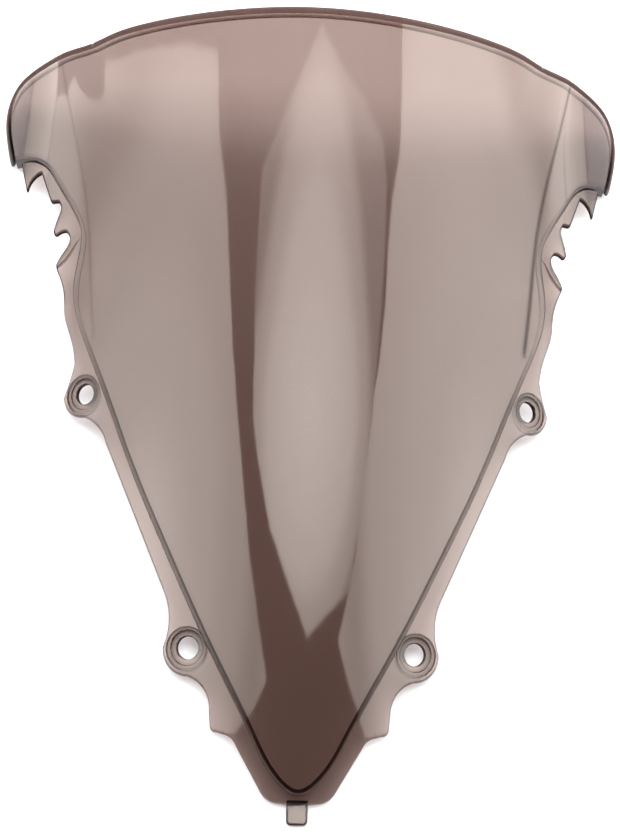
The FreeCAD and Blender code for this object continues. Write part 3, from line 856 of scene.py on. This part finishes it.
def contact_material():
    """Where two pieces of the one moulding meet there is no surface to see."""
    mat = bpy.data.materials.new("moulding_contact")
    mat.use_nodes = True
    tree = mat.node_tree
    tree.nodes.clear()
    clear = tree.nodes.new("ShaderNodeBsdfTransparent")
    clear.inputs["Color"].default_value = (1, 1, 1, 1)
    output = tree.nodes.new("ShaderNodeOutputMaterial")
    tree.links.new(clear.outputs["BSDF"], output.inputs["Surface"])
    return mat


# ---------------------------------------------------------------- build
EYE_SHARP, TONGUE_SHARP = math.radians(32), math.radians(50)
screen = Plan()
made = {}
for name in sorted(set(screen.names) - {""}):
    if kind_of(name) != "eye":
        made[name] = make_object(name, *build_piece(screen, name))
for sign, side_name in ((-1, "left"), (1, "right")):
    for level in EYES:
        name = f"{side_name}_{level}_eye"
        made[name] = make_object(name, *build_eye(sign, level))
        made[name].data.set_sharp_from_angle(angle=EYE_SHARP)
made["locating_tongue"] = make_object("locating_tongue", *build_tongue())
made["locating_tongue"].data.set_sharp_from_angle(angle=TONGUE_SHARP)

face = smoked_acrylic("smoked_acrylic_face", TINT, FACE_ROUGH)
painted_light_walls = smoked_acrylic("smoked_acrylic_edge", PAINTED_LIGHT_WALL_TINT, EDGE_ROUGH, cast=PAINTED_LIGHT_WALL_CAST)
painted_shade_walls = smoked_acrylic("smoked_acrylic_dark_edge", PAINTED_SHADE_WALL_TINT, EDGE_ROUGH)
contact = contact_material()
# The walls of flange and bead pieces get painted light, all other walls painted shade.
for name, piece in made.items():
    edge = painted_light_walls if "flange" in name or "bead" in name else painted_shade_walls
    for material in (face, edge, contact):
        piece.data.materials.append(material)
    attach(piece, "root")
    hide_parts(name)

# ---------------------------------------------------------------- floor, light and camera
FLOOR_Z, FLOOR_HALF = -0.0004, 6      # in metres, just below the tongue
floor_corners = [(x * FLOOR_HALF, y * FLOOR_HALF, FLOOR_Z) for x, y in ((-1, -1), (1, -1), (1, 1), (-1, 1))]
floor_mesh = bpy.data.meshes.new("studio_floor")
floor_mesh.from_pydata(floor_corners, [], [(0, 1, 2, 3)])
floor = bpy.data.objects.new("studio_floor", floor_mesh)
bpy.context.scene.collection.objects.link(floor)
white = bpy.data.materials.new("white_floor")
white.use_nodes = True
paint = white.node_tree.nodes["Principled BSDF"]
paint.inputs["Base Color"].default_value = (0.78, 0.8, 0.82, 1)
paint.inputs["Roughness"].default_value = 1.0
paint.inputs["Specular IOR Level"].default_value = 0.0
floor_mesh.materials.append(white)

WARM = (1.0, 0.975, 0.915)
BRIGHTEST = 10.0      # a colour ramp holds glows up to 1, so they are shares of this
# Outlines of the white cards that the screen mirrors, in mm. The side cards slope down and outwards.
MIDDLE_CARD = [
    (20, 325), (-137, 281), (-273, 245), (-276, 142), (-267, -29), (-233, -86), (-156, -186),
    (61, -336), (289, -265), (338, -134), (379, -16), (412, 170), (427, 262), (399, 288), (163, 304),
]
LEFT_CARD = [
    (-550, 378), (-518, 313), (-458, 248), (-422, 174), (-399, 80), (-366, -25), (-333, -117),
    (-286, -243), (-233, -342), (-172, -447), (-245, -480), (-380, -507), (-1500, -640), (-1500, 790),
    (-1334, 697), (-1200, 667), (-1131, 654), (-1102, 622), (-1080, 605), (-1049, 582), (-1005, 558),
    (-942, 528), (-869, 495), (-774, 454), (-635, 404),
]
RIGHT_CARD = [
    (491, 450), (495, 341), (488, 294), (451, 249), (435, 206), (432, 161), (408, 59), (379, -17),
    (353, -124), (332, -232), (290, -314), (259, -365), (285, -391), (332, -428), (365, -444),
    (424, -484), (1500, -600), (1500, 1000), (1145, 760), (984, 660),
]
CARD_HIGH, CARD_FALL, CARD_FROM = 1000.0, 0.75, 425.0


def sloped(outline, side):
    """A card's outline in space: level for side 0, and sloping down and outwards for side -1 or 1."""
    return [(x, y, CARD_HIGH - CARD_FALL * (side * x - CARD_FROM) * abs(side)) for x, y in outline]


def light_card(name, points, centre, reach, levels):
    """A glowing card that only mirror reflections see; levels give its glow along the reach from centre."""
    points = [[c * MM for c in q] for q in points]
    mesh = bpy.data.meshes.new(name)
    mesh.from_pydata(points, [], [list(range(len(points)))])
    card = bpy.data.objects.new(name, mesh)
    bpy.context.scene.collection.objects.link(card)
    mat = bpy.data.materials.new(name)
    mat.use_nodes = True
    tree = mat.node_tree
    tree.nodes.clear()
    place = tree.nodes.new("ShaderNodeNewGeometry")
    far = tree.nodes.new("ShaderNodeVectorMath")
    far.operation = "DISTANCE"
    tree.links.new(place.outputs["Position"], far.inputs[0])
    far.inputs[1].default_value = [c * MM for c in centre]
    share = math_node(tree, "DIVIDE", far.outputs["Value"], reach * MM)
    fade = tree.nodes.new("ShaderNodeValToRGB")
    fade.color_ramp.interpolation = "EASE"
    stops = fade.color_ramp.elements
    while len(stops) < len(levels):
        stops.new(0.5)
    for stop, (position, level) in zip(stops, levels):
        stop.position = position
        stop.color = (*[level / BRIGHTEST] * 3, 1)
    tree.links.new(share, fade.inputs["Fac"])
    glow = tree.nodes.new("ShaderNodeEmission")
    glow.inputs["Color"].default_value = (*WARM, 1)
    tree.links.new(math_node(tree, "MULTIPLY", fade.outputs["Color"], BRIGHTEST), glow.inputs["Strength"])
    output = tree.nodes.new("ShaderNodeOutputMaterial")
    tree.links.new(glow.outputs["Emission"], output.inputs["Surface"])
    mesh.materials.append(mat)
    card.visible_camera = card.visible_diffuse = card.visible_transmission = card.visible_shadow = False


MIDDLE_GLOW = ((0, 9.9), (0.3, 9.0), (0.5, 7.9), (0.7, 5.2), (0.85, 2.2))
LEFT_GLOW = ((0, 9.2), (0.3, 6.8), (0.5, 5.3), (0.68, 3.5), (0.95, 5.3))
RIGHT_GLOW = ((0, 9.4), (0.3, 7.5), (0.55, 6.2), (0.7, 3.8), (0.95, 6.2))
light_card("middle_card", sloped(MIDDLE_CARD, 0), (40, -20, 1000), 420, MIDDLE_GLOW)
light_card("left_card", sloped(LEFT_CARD, -1), (-760, -160, 750), 1000, LEFT_GLOW)
light_card("right_card", sloped(RIGHT_CARD, 1), (860, -60, 675), 1000, RIGHT_GLOW)
# Two upright cards by the floor. Their centres are so far up that the glow changes with height alone.
LOW_X, LOW_FRONT, LOW_REAR, LOW_TOP, LOW_CENTRE_Y, FAR_UP = 1510, -640, 1300, 190, 300, 20190
LOW_GLOW = ((0.9906, 6.0), (1, 3.0))
for side in (-1, 1):
    corners = ((LOW_FRONT, LOW_TOP), (LOW_REAR, LOW_TOP), (LOW_REAR, 0), (LOW_FRONT, 0))
    low = [(side * LOW_X, y, z) for y, z in corners]
    light_card(f"low_card_{side + 1}", low, (side * LOW_X, LOW_CENTRE_Y, FAR_UP), FAR_UP, LOW_GLOW)

world = bpy.data.worlds.new("studio")
bpy.context.scene.world = world
world.use_nodes = True
tree = world.node_tree
where = tree.nodes.new("ShaderNodeTexCoord")
split = tree.nodes.new("ShaderNodeSeparateXYZ")
tree.links.new(where.outputs["Generated"], split.inputs["Vector"])
glow = tree.nodes.new("ShaderNodeMapRange")
glow.interpolation_type = "SMOOTHSTEP"
tree.links.new(split.outputs["Z"], glow.inputs["Value"])
for socket, value in (("From Min", 0.2), ("From Max", 0.75), ("To Min", 1.6), ("To Max", 0.12)):
    glow.inputs[socket].default_value = value
tree.links.new(glow.outputs["Result"], tree.nodes["Background"].inputs["Strength"])
tree.nodes["Background"].inputs["Color"].default_value = (1, 1, 1, 1)


def softbox(name, where, target, wide, high, power):
    """A large soft area light for the floor and its shadows, which mirror reflections don't see."""
    light = bpy.data.lights.new(name, "AREA")
    light.shape = "RECTANGLE"
    light.size, light.size_y = wide, high
    light.energy = power
    lamp = bpy.data.objects.new(name, light)
    lamp.location = where
    lamp.rotation_euler = (Vector(target) - Vector(where)).to_track_quat("-Z", "Y").to_euler()
    lamp.visible_camera = lamp.visible_glossy = False
    bpy.context.scene.collection.objects.link(lamp)


# Where each softbox is, where it points, its width and height, all in metres, and its power in watts.
softbox("middle_softbox", (0, 0.15, 1.0), (0, 0, 0), 0.7, 0.6, 15.0)
softbox("left_softbox", (-0.9, 0.4, 0.75), (0, 0, 0), 1.0, 1.2, 12.0)
softbox("right_softbox", (0.9, 0.4, 0.75), (0, 0, 0), 1.0, 1.2, 12.0)
softbox("rear_softbox", (0, 1.2, 0.45), (0, 0.1, 0), 1.6, 0.6, 8.0)

PITCH, YAW, ROLL = math.radians(23.09), math.radians(2.24), math.radians(-2.31)
DISTANCE, SIDEWAYS, LIFT = 552.0, -1.76, 1.33      # in mm
FOCAL_SHARE = 1.2531      # the focal length as a share of the picture's height
turn = Matrix.Rotation(ROLL, 3, "Z") @ Matrix.Rotation(YAW, 3, "Y")
tip = Matrix.Rotation(PITCH, 3, "X")
facing = (turn @ tip.inverted()).inverted()
where = facing @ Vector((-SIDEWAYS, 0, DISTANCE)) + Vector((0, 0, LIFT))
lens = bpy.data.cameras.new("camera")
lens.sensor_fit = "VERTICAL"
lens.sensor_height = 24
lens.lens = lens.sensor_height * FOCAL_SHARE
camera = bpy.data.objects.new("camera", lens)
camera.matrix_world = Matrix.Translation(where * MM) @ facing.to_4x4()
bpy.context.scene.collection.objects.link(camera)
bpy.context.scene.camera = camera
bpy.context.scene.view_settings.view_transform = "Standard"
